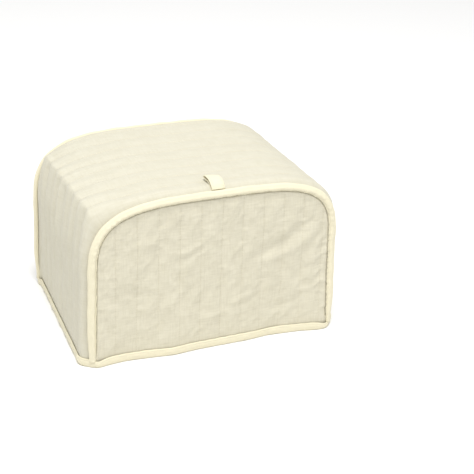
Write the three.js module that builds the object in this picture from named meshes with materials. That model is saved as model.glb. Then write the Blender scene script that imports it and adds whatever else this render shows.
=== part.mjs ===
import * as THREE from 'three';

// A quilted cotton toaster cover. Two arched end panels are joined by one long band, which runs up the left
// side, over the top and down the right side. The cut edges of each seam are turned outwards and bound with
// folded tape, and so is the hem, on which the cover stands. A short strap is caught in the front seam.
// Millimetres. X runs to the right, Y from the front panel to the back panel, Z up.

// The whole cover
const DEPTH = 207.6;
const SEAM_HALF_WIDTH = 132;
const SEAM_TOP = 176;
const SIDE_FLARE = 0.019;
const SHOULDER = {
  left: { side: -1, foot: 95, roundness: 3.76 },
  right: { side: 1, foot: 98.5, roundness: 3.93 },
};

// The quilted cloth, thin along each quilting line and full between two of them
const QUILT_PITCH = 23.7;
const QUILT_LINE_ON_PANEL = -112.3;
const QUILT_LINE_ON_BAND = 25.5;
const THICKNESS_AT_LINE = 1.7;
const THICKNESS_AT_CROWN = 3.9;
const THICKNESS_IN_SEAM = 1.2;
const THICKNESS_IN_HEM = 1.6;
const PINCH_WIDTH = 13;
const PIECES_APART = 0.3;

// Seam binding: tape folded over the two turned-out edges
const TAPE = 1;
const BINDING_REACH_SIDE = 10;
const BINDING_REACH_TOP = 9.8;
const BINDING_REACH_FOOT = 7.6;
const BINDING_FOOT_HEIGHT = 34;
const BINDING_CROWN = 0.7;
const BINDING_INNER_EDGE = 1.3;
const BINDING_REAR_START = 5.6;
const BINDING_LEAN_AT_FOOT = 0.08;
const EDGE_SHORT_OF_FOLD = 1;

// Hem binding: tape folded over the lower edge
const HEM_HEIGHT = 9.5;
const HEM_TAPE = 1.5;
const HEM_EDGE_ROUND = 1.2;
const HEM_CORNER_ROOM = 1.4;
const HEM_END_HEIGHT = HEM_HEIGHT + 0.25;
const FLANGE_FOOT = HEM_HEIGHT + 0.65;
const FLANGE_IN_HEM = 0.8;

// How far the band stands out past its seams, and how soon
const BULGE = { leftHem: 13.6, leftSide: 12, top: 9.4, right: 12.4, rightHem: 11.5 };
const LEFT_TAPER_HEM = 0.93;
const LEFT_TAPER_TOP = 0.35;
const RISE_FRONT = 16;
const RISE_FRONT_FOOT = 14;
const RISE_BACK = 14;
const TOP_SAG = 2;

// Soft waves in the foot of the front panel
const WAVE_HEIGHT = 60;
const FRONT_WAVES = [
  { x: -100, width: 24, inwards: 3 },
  { x: -45, width: 18, inwards: -2.4 },
  { x: 67, width: 17, inwards: 2.4 },
  { x: 125, width: 17, inwards: -5 },
];

// Heights on the seam's legs where panels, band and binding all have a row of points
const LEG_STEPS = [20, 29, 40, 58, 80, 102, 120, 133];

// The crease that the cloth folds into along the left shoulder
const CREASE = {
  seamX: -122,
  lift: 12.5,
  liftAtBack: 7.5,
  widthBelow: 17,
  widthAbove: 40,
  outwards: 0.16,
  rise: 19,
};

// Strap: a folded tape whose two ends are caught in the front seam. Heights are over the top of the seam.
const STRAP = { x: 2.3, width: 15, thickness: 1.4 };
const STRAP_LINE = [
  { y: 4.4, up: 8 },
  { y: 8, up: 12.6 },
  { y: 13, up: 15.3 },
  { y: 19, up: 16 },
  { y: 25, up: 15.4 },
  { y: 27.4, up: 13.8 },
  { y: 25, up: 12.4 },
  { y: 19.5, up: 12 },
  { y: 13.5, up: 11.5 },
  { y: 8, up: 8.1 },
  { y: 4.4, up: 6 },
];

const clamp = (t) => Math.min(1, Math.max(0, t));
const ease = (t) => clamp(t) ** 2 * (3 - 2 * clamp(t));
const mix = (a, b, t) => a + (b - a) * t;
const bell = (t) => Math.exp(-t * t);

// The seam's outline: straight legs that flare a little, then a quarter of a superellipse on each shoulder

function withNormal(x, z, slopeX, slopeZ) {
  const length = Math.hypot(slopeX, slopeZ);
  return { x, z, outX: slopeX / length, outZ: slopeZ / length };
}

function seamAtHeight(shoulder, z) {
  const { side, foot, roundness } = shoulder;
  if (z <= foot) {
    const flare = SIDE_FLARE * (foot - Math.max(z, HEM_HEIGHT));
    return withNormal(side * (SEAM_HALF_WIDTH + flare), z, side, 0);
  }
  const up = (z - foot) / (SEAM_TOP - foot);
  return seamAtWidth(side * SEAM_HALF_WIDTH * (1 - up ** roundness) ** (1 / roundness));
}

function seamAtWidth(x) {
  const { side, foot, roundness } = x < 0 ? SHOULDER.left : SHOULDER.right;
  const out = Math.min(1, Math.abs(x) / SEAM_HALF_WIDTH);
  const up = (1 - out ** roundness) ** (1 / roundness);
  const rise = SEAM_TOP - foot;
  const slopeX = side * out ** (roundness - 1) / SEAM_HALF_WIDTH;
  return withNormal(x, foot + rise * up, slopeX, up ** (roundness - 1) / rise);
}

// Shape of the two end panels. The front one stands unevenly: each wave pushes its lower edge out or in.

function frontFace(x, z) {
  const low = bell(Math.max(z, HEM_HEIGHT) / WAVE_HEIGHT);
  return low * FRONT_WAVES.reduce((sum, wave) => sum + wave.inwards * bell((x - wave.x) / wave.width), 0);
}

const FRONT = { at: (seam, y) => frontFace(seam.x, seam.z) + y };
const BACK = { at: (seam, y) => DEPTH - y };

// Places a point of a seam's section: out is the distance past the seam line, y the depth behind its panel.
// The turned-out edges and their tape lean back a little at the foot, where the hem gathers them.

function onSeam(end, seam, out, y) {
  const lean = BINDING_LEAN_AT_FOOT * (1 - ease((seam.z - HEM_HEIGHT) / BINDING_FOOT_HEIGHT));
  const turned = out > 0 ? lean : 0;
  const reach = out * Math.cos(turned) - y * Math.sin(turned);
  const depth = out * Math.sin(turned) + y * Math.cos(turned);
  return new THREE.Vector3(seam.x + seam.outX * reach, end.at(seam, depth), seam.z + seam.outZ * reach);
}

function bindingReach(seam) {
  const level = mix(BINDING_REACH_SIDE, BINDING_REACH_TOP, ease(Math.abs(seam.outZ)));
  return mix(BINDING_REACH_FOOT, level, ease((seam.z - HEM_HEIGHT) / BINDING_FOOT_HEIGHT));
}

function turnedEdge(seam) {
  return seam.z > HEM_END_HEIGHT ? bindingReach(seam) - TAPE - EDGE_SHORT_OF_FOLD : FLANGE_IN_HEM;
}

const TURNED_EDGE_DEPTH = THICKNESS_IN_SEAM + PIECES_APART;

// Fullness of the quilting, 0 on a stitched line and 1 midway between two lines

function fullness(place, line) {
  const across = (place - line) / QUILT_PITCH;
  return Math.abs(Math.sin(Math.PI * across)) ** 0.8;
}

// Mesh builders

function closedMesh(name, points, triangles, material) {
  let volume = 0;
  for (const [a, b, c] of triangles) {
    volume += points[a].dot(new THREE.Vector3().crossVectors(points[b], points[c]));
  }
  const outward = volume > 0 ? triangles : triangles.map(([a, b, c]) => [a, c, b]);
  const geometry = new THREE.BufferGeometry().setFromPoints(points);
  geometry.setIndex(outward.flat());
  geometry.computeVertexNormals();
  const mesh = new THREE.Mesh(geometry, material);
  mesh.name = name;
  return mesh;
}

// A sheet with two faces: grid[i][j] holds the outer and the inner point of one place on it

function sheetMesh(name, grid, material) {
  const rows = grid.length;
  const columns = grid[0].length;
  const points = [...grid.flat().map((place) => place.outer), ...grid.flat().map((place) => place.inner)];
  const outer = (i, j) => i * columns + j;
  const inner = (i, j) => rows * columns + outer(i, j);
  const triangles = [];
  const quad = (a, b, c, d) => triangles.push([a, b, c], [a, c, d]);
  for (let i = 0; i + 1 < rows; i += 1) {
    for (let j = 0; j + 1 < columns; j += 1) {
      quad(outer(i, j), outer(i + 1, j), outer(i + 1, j + 1), outer(i, j + 1));
      quad(inner(i, j), inner(i, j + 1), inner(i + 1, j + 1), inner(i + 1, j));
    }
  }
  const last = { row: rows - 1, column: columns - 1 };
  for (let j = 0; j < last.column; j += 1) {
    quad(outer(0, j), outer(0, j + 1), inner(0, j + 1), inner(0, j));
    quad(outer(last.row, j + 1), outer(last.row, j), inner(last.row, j), inner(last.row, j + 1));
  }
  for (let i = 0; i < last.row; i += 1) {
    quad(outer(i + 1, 0), outer(i, 0), inner(i, 0), inner(i + 1, 0));
    quad(outer(i, last.column), outer(i + 1, last.column), inner(i + 1, last.column), inner(i, last.column));
  }
  return closedMesh(name, points, triangles, material);
}

// A section carried along a path. The path closes on itself when no flat outline of its ends is given.

function sweptMesh(name, sections, endOutline, material) {
  const around = sections[0].length;
  const steps = endOutline ? sections.length - 1 : sections.length;
  const triangles = [];
  for (let i = 0; i < steps; i += 1) {
    const here = i * around;
    const next = ((i + 1) % sections.length) * around;
    for (let k = 0; k < around; k += 1) {
      const k2 = (k + 1) % around;
      triangles.push([here + k, next + k, next + k2], [here + k, next + k2, here + k2]);
    }
  }
  if (endOutline) {
    const cap = THREE.ShapeUtils.triangulateShape(endOutline, []);
    const far = steps * around;
    const clockwise = THREE.ShapeUtils.isClockWise(endOutline);
    for (const [a, b, c] of cap) {
      const [p, q] = clockwise ? [c, b] : [b, c];
      triangles.push([a, p, q], [far + a, far + q, far + p]);
    }
  }
  return closedMesh(name, sections.flat(), triangles, material);
}

// End panels

function panelPlace(end, seam, out) {
  const half = THICKNESS_IN_SEAM / 2;
  return { outer: onSeam(end, seam, out, -half), inner: onSeam(end, seam, out, half) };
}

function panelInside(end, x, z) {
  const toSide = SEAM_HALF_WIDTH + 1 - Math.abs(x);
  const toTop = seamAtWidth(Math.sign(x) * Math.min(Math.abs(x), SEAM_HALF_WIDTH)).z - z;
  const toSeam = Math.max(0, Math.min(toSide, toTop));
  const freeOfSeam = ease(toSeam / PINCH_WIDTH);
  const freeOfHem = ease((z - HEM_HEIGHT) / PINCH_WIDTH);
  const full = mix(THICKNESS_AT_LINE, THICKNESS_AT_CROWN, fullness(x, QUILT_LINE_ON_PANEL));
  const pinched = mix(THICKNESS_IN_SEAM, THICKNESS_IN_HEM, clamp(toSeam / PINCH_WIDTH));
  const half = mix(pinched, full, freeOfSeam * freeOfHem) / 2;
  const hollow = 1.2 * bell((toSeam - 8) / 5) * freeOfHem;
  const seam = { x, z: Math.max(z, HEM_HEIGHT) };
  return {
    outer: new THREE.Vector3(x, end.at(seam, hollow - half), z),
    inner: new THREE.Vector3(x, end.at(seam, hollow + half), z),
  };
}

// Columns stand upright on the quilting lines and between them. The first and last follow the legs of the
// seam up to the shoulder. Past each lies one column of turned-out edge; the top row is the arch's own.

function uprightColumns() {
  const columns = [-127, -120];
  for (let k = 0; k <= 10; k += 1) {
    for (const part of [0, 0.25, 0.75]) {
      columns.push(QUILT_LINE_ON_PANEL + (k + part) * QUILT_PITCH);
    }
  }
  return columns.filter((x) => x < 127.5).concat([128.4]);
}

function panelMesh(name, end, material) {
  const cornerHeight = LEG_STEPS.at(-1);
  const edgeStep = 3;
  const levels = LEG_STEPS.map((z) => (z - FLANGE_FOOT) / (cornerHeight - FLANGE_FOOT));
  const heights = (top) => [
    TAPE + PIECES_APART,
    HEM_END_HEIGHT,
    FLANGE_FOOT,
    ...levels.map((t) => mix(FLANGE_FOOT, top, t)),
  ];
  const edgeAt = (shoulder, z) => {
    const seam = seamAtHeight(shoulder, z);
    return panelPlace(end, seam, turnedEdge(seam));
  };
  const archAt = (seam) => panelPlace(end, seam, turnedEdge(seam));
  const legColumns = (shoulder) => {
    const levelsUp = heights(cornerHeight);
    const onSeamLine = levelsUp.map((z) => panelPlace(end, seamAtHeight(shoulder, z), 0));
    const turned = levelsUp.map((z) => edgeAt(shoulder, z));
    turned[turned.length - 1] = edgeAt(shoulder, cornerHeight - edgeStep);
    turned.push(edgeAt(shoulder, cornerHeight));
    onSeamLine.push(edgeAt(shoulder, cornerHeight + edgeStep));
    return [turned, onSeamLine];
  };
  const uprightColumn = (x) => {
    const seam = seamAtWidth(x);
    const column = heights(seam.z).map((z, k, all) =>
      k === all.length - 1 ? panelPlace(end, seam, 0) : panelInside(end, x, z),
    );
    column.push(archAt(seam));
    return column;
  };
  const grid = [
    ...legColumns(SHOULDER.left),
    ...uprightColumns().map(uprightColumn),
    ...legColumns(SHOULDER.right).reverse(),
  ];
  return sheetMesh(name, grid, material);
}

// Stations along the seam, from the left hem over the top to the right hem

function seamLine(foot) {
  const crease = seamAtWidth(CREASE.seamX).z;
  const up = [foot, ...LEG_STEPS, 143, crease];
  const across = [-116, -108.5, -99, -88, -74, -56, -36, -14, 10, 34, 56, 74, 88, 99, 108.5, 116];
  return [
    ...up.map((z) => seamAtHeight(SHOULDER.left, z)),
    ...across.map(seamAtWidth),
    ...up.reverse().map((z) => seamAtHeight(SHOULDER.right, z)),
  ];
}

// Seam bindings

const BINDING_FRONT = -THICKNESS_IN_SEAM / 2 - PIECES_APART;
const BINDING_REAR = THICKNESS_IN_SEAM * 1.5 + PIECES_APART * 2;

function bindingSection(reach) {
  const lip = reach - TAPE;
  const fold = 1.2;
  return [
    { out: BINDING_INNER_EDGE, y: BINDING_FRONT },
    { out: BINDING_INNER_EDGE, y: BINDING_FRONT - TAPE },
    { out: reach * 0.5, y: BINDING_FRONT - TAPE - BINDING_CROWN },
    { out: reach - fold, y: BINDING_FRONT - TAPE },
    { out: reach, y: BINDING_FRONT + fold - TAPE },
    { out: reach, y: BINDING_REAR - fold + TAPE },
    { out: reach - fold, y: BINDING_REAR + TAPE },
    { out: BINDING_REAR_START, y: BINDING_REAR + TAPE },
    { out: BINDING_REAR_START, y: BINDING_REAR },
    { out: lip, y: BINDING_REAR },
    { out: lip, y: BINDING_FRONT },
  ];
}

function bindingMesh(name, end, material) {
  const foot = HEM_HEIGHT + PIECES_APART;
  const sections = seamLine(foot).map((seam) => {
    const profile = bindingSection(bindingReach(seam));
    return profile.map(({ out, y }) => onSeam(end, seam, out, y));
  });
  const outline = bindingSection(BINDING_REACH_FOOT).map(({ out, y }) => new THREE.Vector2(out, y));
  return sweptMesh(name, sections, outline, material);
}

// Band

function bulgeAt(seam, y) {
  const along = clamp((y - RISE_FRONT) / (DEPTH - RISE_FRONT));
  const upright = Math.max(seam.z, HEM_HEIGHT) / SEAM_TOP;
  if (seam.outX < -0.05) {
    const side = mix(BULGE.leftHem, BULGE.leftSide, ease(upright / 0.5));
    const tapered = side * (1 - mix(LEFT_TAPER_HEM, LEFT_TAPER_TOP, upright) * along);
    return mix(BULGE.top, tapered, ease(-seam.outX));
  }
  const side = mix(BULGE.rightHem, BULGE.right, ease(upright / 0.5));
  const sag = TOP_SAG * bell((seam.x - 15) / 60) * Math.sin(Math.PI * clamp(y / DEPTH));
  return mix(BULGE.top - sag, side, ease(Math.max(0, seam.outX)));
}

function bandRise(seam, y) {
  const low = 1 - ease((seam.z - HEM_HEIGHT) / BINDING_FOOT_HEIGHT);
  const fromFront = clamp((y - TURNED_EDGE_DEPTH) / mix(RISE_FRONT, RISE_FRONT_FOOT, low));
  const fromBack = clamp((DEPTH - TURNED_EDGE_DEPTH - y) / RISE_BACK);
  return Math.sin((Math.PI / 2) * fromFront) ** mix(1, 0.92, low) * Math.sin((Math.PI / 2) * fromBack);
}

const CREASE_AT = seamAtWidth(CREASE.seamX);

function creaseLift(seam, y) {
  const before = seam.x < CREASE.seamX && seam.outX < 0 && seam.z <= CREASE_AT.z;
  const away = Math.hypot(seam.x - CREASE_AT.x, seam.z - CREASE_AT.z);
  const width = before ? CREASE.widthBelow : CREASE.widthAbove;
  return mix(CREASE.lift, CREASE.liftAtBack, y / DEPTH) * clamp(1 - away / width) ** 1.25;
}

function bandMiddle(seam, y) {
  const out = bulgeAt(seam, y) * bandRise(seam, y);
  const lift = creaseLift(seam, y) * ease((y - 3) / CREASE.rise) * ease((DEPTH - 3 - y) / CREASE.rise);
  return new THREE.Vector3(
    seam.x + seam.outX * out - CREASE.outwards * lift,
    mix(FRONT.at(seam, y), y, clamp(y / DEPTH)),
    seam.z + seam.outZ * out + lift,
  );
}

function bandHalfThickness(seam, y) {
  const toSeam = Math.min(y, DEPTH - y) - TURNED_EDGE_DEPTH;
  const full = mix(THICKNESS_AT_LINE, THICKNESS_AT_CROWN, fullness(y, QUILT_LINE_ON_BAND));
  const free = ease(toSeam / PINCH_WIDTH) * ease((seam.z - HEM_HEIGHT) / PINCH_WIDTH);
  const pinched = mix(THICKNESS_IN_SEAM, THICKNESS_IN_HEM, clamp(toSeam / PINCH_WIDTH));
  return mix(pinched, full, free) / 2;
}

function bandBodyDepths() {
  const depths = [3.2, 5.4, 8.6, 13.5, 19.5];
  for (let k = 0; k < 7; k += 1) {
    for (const part of [0, 0.25, 0.75]) {
      depths.push(QUILT_LINE_ON_BAND + (k + part) * QUILT_PITCH);
    }
  }
  depths.push(QUILT_LINE_ON_BAND + 7 * QUILT_PITCH, 198.5, 202.2, 204.4);
  return depths;
}

function turnedPlace(end, seam, out) {
  const half = THICKNESS_IN_SEAM / 2;
  return {
    outer: onSeam(end, seam, out, TURNED_EDGE_DEPTH + half),
    inner: onSeam(end, seam, out, TURNED_EDGE_DEPTH - half),
  };
}

function bandRow(seam) {
  const edge = turnedEdge(seam);
  const stops = [edge, edge * 0.55, Math.min(1.5, edge * 0.3)];
  const depths = bandBodyDepths();
  const middle = depths.map((y) => bandMiddle(seam, y));
  const up = new THREE.Vector3(seam.outX, 0, seam.outZ);
  const body = depths.map((y, k) => {
    const before = middle[Math.max(0, k - 1)];
    const after = middle[Math.min(depths.length - 1, k + 1)];
    const slope = after.clone().sub(before);
    const climb = slope.dot(up);
    const run = slope.y;
    const face = up.clone().multiplyScalar(run).add(new THREE.Vector3(0, -climb, 0)).normalize();
    face.multiplyScalar(bandHalfThickness(seam, y));
    return { outer: middle[k].clone().add(face), inner: middle[k].clone().sub(face) };
  });
  const front = stops.map((out) => turnedPlace(FRONT, seam, out));
  const back = stops.map((out) => turnedPlace(BACK, seam, out)).reverse();
  return [...front, ...body, ...back];
}

function bandMesh(name, material) {
  const foot = TAPE + PIECES_APART;
  const rows = seamLine(FLANGE_FOOT);
  const ends = (shoulder) => [foot, HEM_END_HEIGHT].map((z) => seamAtHeight(shoulder, z));
  const stations = [...ends(SHOULDER.left), ...rows, ...ends(SHOULDER.right).reverse()];
  return sheetMesh(name, stations.map(bandRow), material);
}

// Hem binding: a tape folded over the lower edge of panels and band, all the way round

function hemLine() {
  const line = [];
  const add = (x, y, room) => line.push({ x, y, room });
  const leg = (shoulder) => seamAtHeight(shoulder, HEM_HEIGHT);
  const backStops = [128.4, 120, 90, 45, 0, -45, -90, -120, -127];
  const onLine = (y) => fullness(y, QUILT_LINE_ON_BAND) < 0.01;
  const sideStops = bandBodyDepths().filter((y) => y < 20 || y > DEPTH - 12 || onLine(y));
  const cornerRoom = (y) => HEM_CORNER_ROOM * bell((Math.min(y, DEPTH - y) - 1) / 5.5);
  for (const x of uprightColumns()) {
    add(x, frontFace(x, HEM_HEIGHT), 0.3 * (Math.abs(x) > 125));
  }
  add(leg(SHOULDER.right).x, frontFace(SEAM_HALF_WIDTH, HEM_HEIGHT) + 1, HEM_CORNER_ROOM);
  for (const y of sideStops) {
    const place = bandMiddle(leg(SHOULDER.right), y);
    add(place.x, place.y, cornerRoom(y));
  }
  add(leg(SHOULDER.right).x, DEPTH - 1, HEM_CORNER_ROOM);
  for (const x of backStops) {
    add(x, DEPTH, 0.3 * (Math.abs(x) > 125));
  }
  add(leg(SHOULDER.left).x, DEPTH - 1, HEM_CORNER_ROOM);
  for (const y of [...sideStops].reverse()) {
    const place = bandMiddle(leg(SHOULDER.left), y);
    add(place.x, place.y, cornerRoom(y));
  }
  add(leg(SHOULDER.left).x, frontFace(-SEAM_HALF_WIDTH, HEM_HEIGHT) + 1, HEM_CORNER_ROOM);
  return line;
}

function hemMesh(name, material) {
  const line = hemLine();
  const slot = THICKNESS_IN_HEM / 2 + PIECES_APART;
  const sections = line.map(({ x, y, room }, k) => {
    const before = line[(k + line.length - 1) % line.length];
    const after = line[(k + 1) % line.length];
    const outX = after.y - before.y;
    const outY = before.x - after.x;
    const length = Math.hypot(outX, outY);
    const wall = slot + room;
    const profile = [
      { out: -slot - HEM_TAPE, z: 0 },
      { out: wall + HEM_TAPE - HEM_EDGE_ROUND, z: 0 },
      { out: wall + HEM_TAPE, z: HEM_EDGE_ROUND },
      { out: wall + HEM_TAPE + 0.3, z: HEM_HEIGHT / 2 },
      { out: wall + HEM_TAPE - 0.3, z: HEM_HEIGHT },
      { out: wall, z: HEM_HEIGHT },
      { out: wall, z: TAPE },
      { out: -slot, z: TAPE },
      { out: -slot, z: HEM_HEIGHT },
      { out: -slot - HEM_TAPE, z: HEM_HEIGHT },
    ];
    const across = new THREE.Vector2(outX / length, outY / length);
    return profile.map(({ out, z }) => new THREE.Vector3(x + across.x * out, y + across.y * out, z));
  });
  return sweptMesh(name, sections, null, material);
}

// Strap

function strapMesh(name, material) {
  const points = STRAP_LINE.map(({ y, up }) => new THREE.Vector3(0, y, SEAM_TOP + up));
  const line = new THREE.CatmullRomCurve3(points);
  const steps = 26;
  const half = STRAP.thickness / 2;
  const corners = [
    new THREE.Vector2(-STRAP.width / 2, -half),
    new THREE.Vector2(STRAP.width / 2, -half),
    new THREE.Vector2(STRAP.width / 2, half),
    new THREE.Vector2(-STRAP.width / 2, half),
  ];
  const sections = Array.from({ length: steps + 1 }, (_, k) => {
    const place = line.getPointAt(k / steps);
    const along = line.getTangentAt(k / steps);
    return corners.map(
      ({ x, y }) => new THREE.Vector3(STRAP.x + x, place.y - along.z * y, place.z + along.y * y),
    );
  });
  return sweptMesh(name, sections, corners, material);
}

// Materials

function cotton(color, roughness) {
  return new THREE.MeshStandardMaterial({ color, roughness, metalness: 0 });
}

const panelCotton = cotton(0xe8e3cd, 0.95);
const bandCotton = cotton(0xf1ecd8, 0.95);
const tapeCotton = cotton(0xfcf4d4, 0.85);

// The whole cover, placed with its origin at the middle of the floor under it

const cloth = new THREE.Group();
cloth.add(
  panelMesh('front_panel', FRONT, panelCotton),
  panelMesh('back_panel', BACK, panelCotton.clone()),
  bandMesh('band', bandCotton),
  bindingMesh('front_binding', FRONT, tapeCotton),
  bindingMesh('back_binding', BACK, tapeCotton.clone()),
  hemMesh('hem_binding', tapeCotton.clone()),
  strapMesh('loop', tapeCotton.clone()),
);
const middle = new THREE.Box3().setFromObject(cloth).getCenter(new THREE.Vector3());
cloth.position.set(-middle.x, -middle.y, 0);

const group = new THREE.Group();
group.add(cloth);

export default group;
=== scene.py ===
import bpy
import numpy as np
from mathutils import Matrix, Vector


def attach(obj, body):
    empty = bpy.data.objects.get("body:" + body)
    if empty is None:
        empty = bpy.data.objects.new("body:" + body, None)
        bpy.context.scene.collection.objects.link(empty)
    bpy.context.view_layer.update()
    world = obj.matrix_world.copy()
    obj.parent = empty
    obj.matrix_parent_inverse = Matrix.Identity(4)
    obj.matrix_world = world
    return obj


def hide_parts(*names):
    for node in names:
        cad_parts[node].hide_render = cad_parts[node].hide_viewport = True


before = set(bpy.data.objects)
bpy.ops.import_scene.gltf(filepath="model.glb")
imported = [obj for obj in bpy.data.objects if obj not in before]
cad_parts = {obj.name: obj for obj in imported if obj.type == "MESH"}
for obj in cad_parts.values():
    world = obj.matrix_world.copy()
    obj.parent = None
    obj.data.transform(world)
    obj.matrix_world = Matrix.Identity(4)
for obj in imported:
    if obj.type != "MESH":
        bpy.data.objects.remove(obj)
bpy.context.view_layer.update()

# Front panel: an arched piece of quilted cotton, two layers of cloth with thin wadding, sewn through in
# upright lines about an inch apart. Its side and top edges turn outwards into the seam binding, and its foot
# goes into the hem. All sizes are in millimetres, with y = 0 at the front seam.

DEPTH = 207.6
SEAM_HALF_WIDTH = 132.0
SEAM_TOP = 176.0
SIDE_FLARE = 0.019
SHOULDER_FOOT = {"left": 95.0, "right": 98.5}
SHOULDER_ROUNDNESS = {"left": 3.76, "right": 3.93}
LEG_POINTS = 400
TURN_POINTS = 1800
MIDDLE_OF_FLOOR = np.array([-0.865, 101.483, 0.0])
MM = 0.001

QUILT_PITCH = 23.7
LINE_ON_PANEL = -112.3
AT_LINE = 1.4
AT_CROWN = 3.9
IN_SEAM = 1.2
IN_HEM = 1.6
PINCH_WIDTH = 13.0

HEM_HEIGHT = 9.5
CLOTH_FOOT = 1.3
BINDING_FOOT_RISE = 34.0
LEAN_AT_FOOT = 0.08
REACH = {"side": 10.0, "top": 8.9, "foot": 7.6}
TURN_PAST_SEAM = 1.0
EDGE_TO_FOLD = 2.0
EDGE_IN_HEM = 0.8

FRONT_WAVES = np.array([(-100, 24, 3), (-45, 18, -2.4), (67, 17, 2.4), (125, 17, -5)], float)
WAVE_HEIGHT = 60.0

GROOVE = {"depth": 1.7, "at": 0.75, "width": 0.6, "from_hem": 8.0}
HOLLOW = {"depth": 0.5, "at": 8.0, "width": 5.0}
PUCKERS = {"height": 0.8, "spacing": 6.0, "reach": 12.0}
DRAWN_AT_RIGHT = {"height": 2.0, "from_x": 60.0, "over": 60.0, "z": 62.0, "spread": 50.0}
LINE_PUCKERS = 0.14
CRUMPLES = [{"height": 0.85, "size": 42}, {"height": 0.85, "size": 16}, {"height": 0.22, "size": 6}]


def mix(a, b, t):
    """The value that lies the share t of the way from a to b."""
    return a + (b - a) * t


def ease(t):
    """A smooth step: 3 t squared minus 2 t cubed, held between 0 and 1."""
    t = np.clip(t, 0.0, 1.0)
    return t * t * (3 - 2 * t)


def bell(t):
    """A bell curve: e to the power of minus t squared."""
    return np.exp(-t * t)


def seam_half(side, foot, roundness):
    """One half of the seam, from the hem to the top: a leg that flares by SIDE_FLARE, then a quarter of a
    superellipse. On that, the shares of the half width and of the rise, each to the power of roundness, add
    to 1. The rows are x, z and the direction out of the outline."""
    leg = np.linspace(0, foot, LEG_POINTS, endpoint=False)
    turn = np.linspace(0, np.pi / 2, TURN_POINTS)
    out = np.cos(turn) ** (2 / roundness)
    up = np.sin(turn) ** (2 / roundness)
    rise = SEAM_TOP - foot
    flare = SIDE_FLARE * (foot - np.maximum(leg, HEM_HEIGHT))
    x = np.concatenate([SEAM_HALF_WIDTH + flare, SEAM_HALF_WIDTH * out]) * side
    z = np.concatenate([leg, foot + rise * up])
    slope_x = np.concatenate([np.ones(LEG_POINTS), out ** (roundness - 1) / SEAM_HALF_WIDTH])
    slope_z = np.concatenate([np.zeros(LEG_POINTS), up ** (roundness - 1) / rise])
    steep = np.hypot(slope_x, slope_z)
    return np.stack([x, z, side * slope_x / steep, slope_z / steep])


left_half = seam_half(-1, SHOULDER_FOOT["left"], SHOULDER_ROUNDNESS["left"])
right_half = seam_half(1, SHOULDER_FOOT["right"], SHOULDER_ROUNDNESS["right"])
SEAM = np.concatenate([left_half, right_half[:, -2::-1]], axis=1)
SEAM_PLACE = np.concatenate([[0], np.cumsum(np.hypot(np.diff(SEAM[0]), np.diff(SEAM[1])))])
SEAM_LENGTH = SEAM_PLACE[-1]


def seam_at(place):
    """The seam at a distance along it from the left hem: x, z and the direction out of the outline."""
    x, z, out_x, out_z = (np.interp(place, SEAM_PLACE, row) for row in SEAM)
    size = np.hypot(out_x, out_z)
    return x, z, out_x / size, out_z / size


def front_face(x, z):
    """How far the foot of the front panel stands in, in soft waves that die out upwards."""
    centre, width, inwards = FRONT_WAVES.T
    waves = (inwards * bell((x[..., None] - centre) / width)).sum(axis=-1)
    return waves * bell(np.maximum(z, HEM_HEIGHT) / WAVE_HEIGHT)


def binding_reach(z, out_z):
    """How far a binding's fold stands out of the seam: a smooth step from the sides to the top, and another
    from the foot up."""
    level = mix(REACH["side"], REACH["top"], ease(np.abs(out_z)))
    return mix(REACH["foot"], level, ease((z - HEM_HEIGHT) / BINDING_FOOT_RISE))


def turned_edge(z, out_z):
    """How far the cut edges of panel and band reach past the seam: to just short of the binding's fold, and
    hardly at all within the hem."""
    return mix(EDGE_IN_HEM, binding_reach(z, out_z) - EDGE_TO_FOLD, ease((z - HEM_HEIGHT - 0.3) / 0.5))


def leaned(z, out, depth):
    """A point of the seam allowance, turned back a little about the seam where the hem gathers its foot."""
    lean = np.where(out > 0, LEAN_AT_FOOT * (1 - ease((z - HEM_HEIGHT) / BINDING_FOOT_RISE)), 0.0)
    return out * np.cos(lean) - depth * np.sin(lean), out * np.sin(lean) + depth * np.cos(lean)


def fullness(across, line, power=0.8):
    """Rise of the quilting from 0 on a sewn line to 1 midway between two lines: a sine to a power."""
    return np.abs(np.sin(np.pi * (across - line) / QUILT_PITCH)) ** power


def crumple(u, v, size, seed):
    """Unevenness of washed cloth: the sum of fourteen waves in chance directions, bent by two long waves.
    Each is minus the size of a sine, which gives it sharp crests and round troughs, and a longer one is
    higher in proportion."""
    chance = np.random.default_rng(seed)
    count = 14
    angle = chance.uniform(0, np.pi, count)
    length = size * chance.uniform(0.5, 1.6, count)
    phase = chance.uniform(0, 2 * np.pi, count)
    bent_u = u + 0.25 * size * np.sin(2 * np.pi * v / (2.7 * size) + phase[0])
    bent_v = v + 0.25 * size * np.sin(2 * np.pi * u / (3.1 * size) + phase[1])
    run = bent_u[..., None] * np.cos(angle) + bent_v[..., None] * np.sin(angle)
    waves = 0.6 - np.abs(np.sin(np.pi * run / length + phase))
    return (waves * length / size).sum(axis=-1) / 4


def seam_puckers(place, distance, spacing, reach, seed):
    """Gathers that a seam's stitching draws into the cloth: ridges that run away from the seam, at uneven
    distances along it. Each is a bell across, rises over the first 2 mm and dies out over its own reach."""
    chance = np.random.default_rng(seed)
    count = int(SEAM_LENGTH / spacing)
    centre = (np.arange(count) + chance.uniform(0.1, 0.9, count)) * spacing
    width = chance.uniform(1.6, 3.4, count)
    height = chance.uniform(-0.5, 1.0, count)
    reaches = reach * chance.uniform(0.4, 1.5, count)
    distance = np.maximum(distance, 0)[..., None]
    slant = 0.25 * chance.uniform(-1, 1, count) * distance
    ridges = height * bell((place[..., None] - centre + slant) / width) * np.exp(-distance / reaches)
    return (ridges * (1 - np.exp(-distance / 2))).sum(axis=-1)


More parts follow.
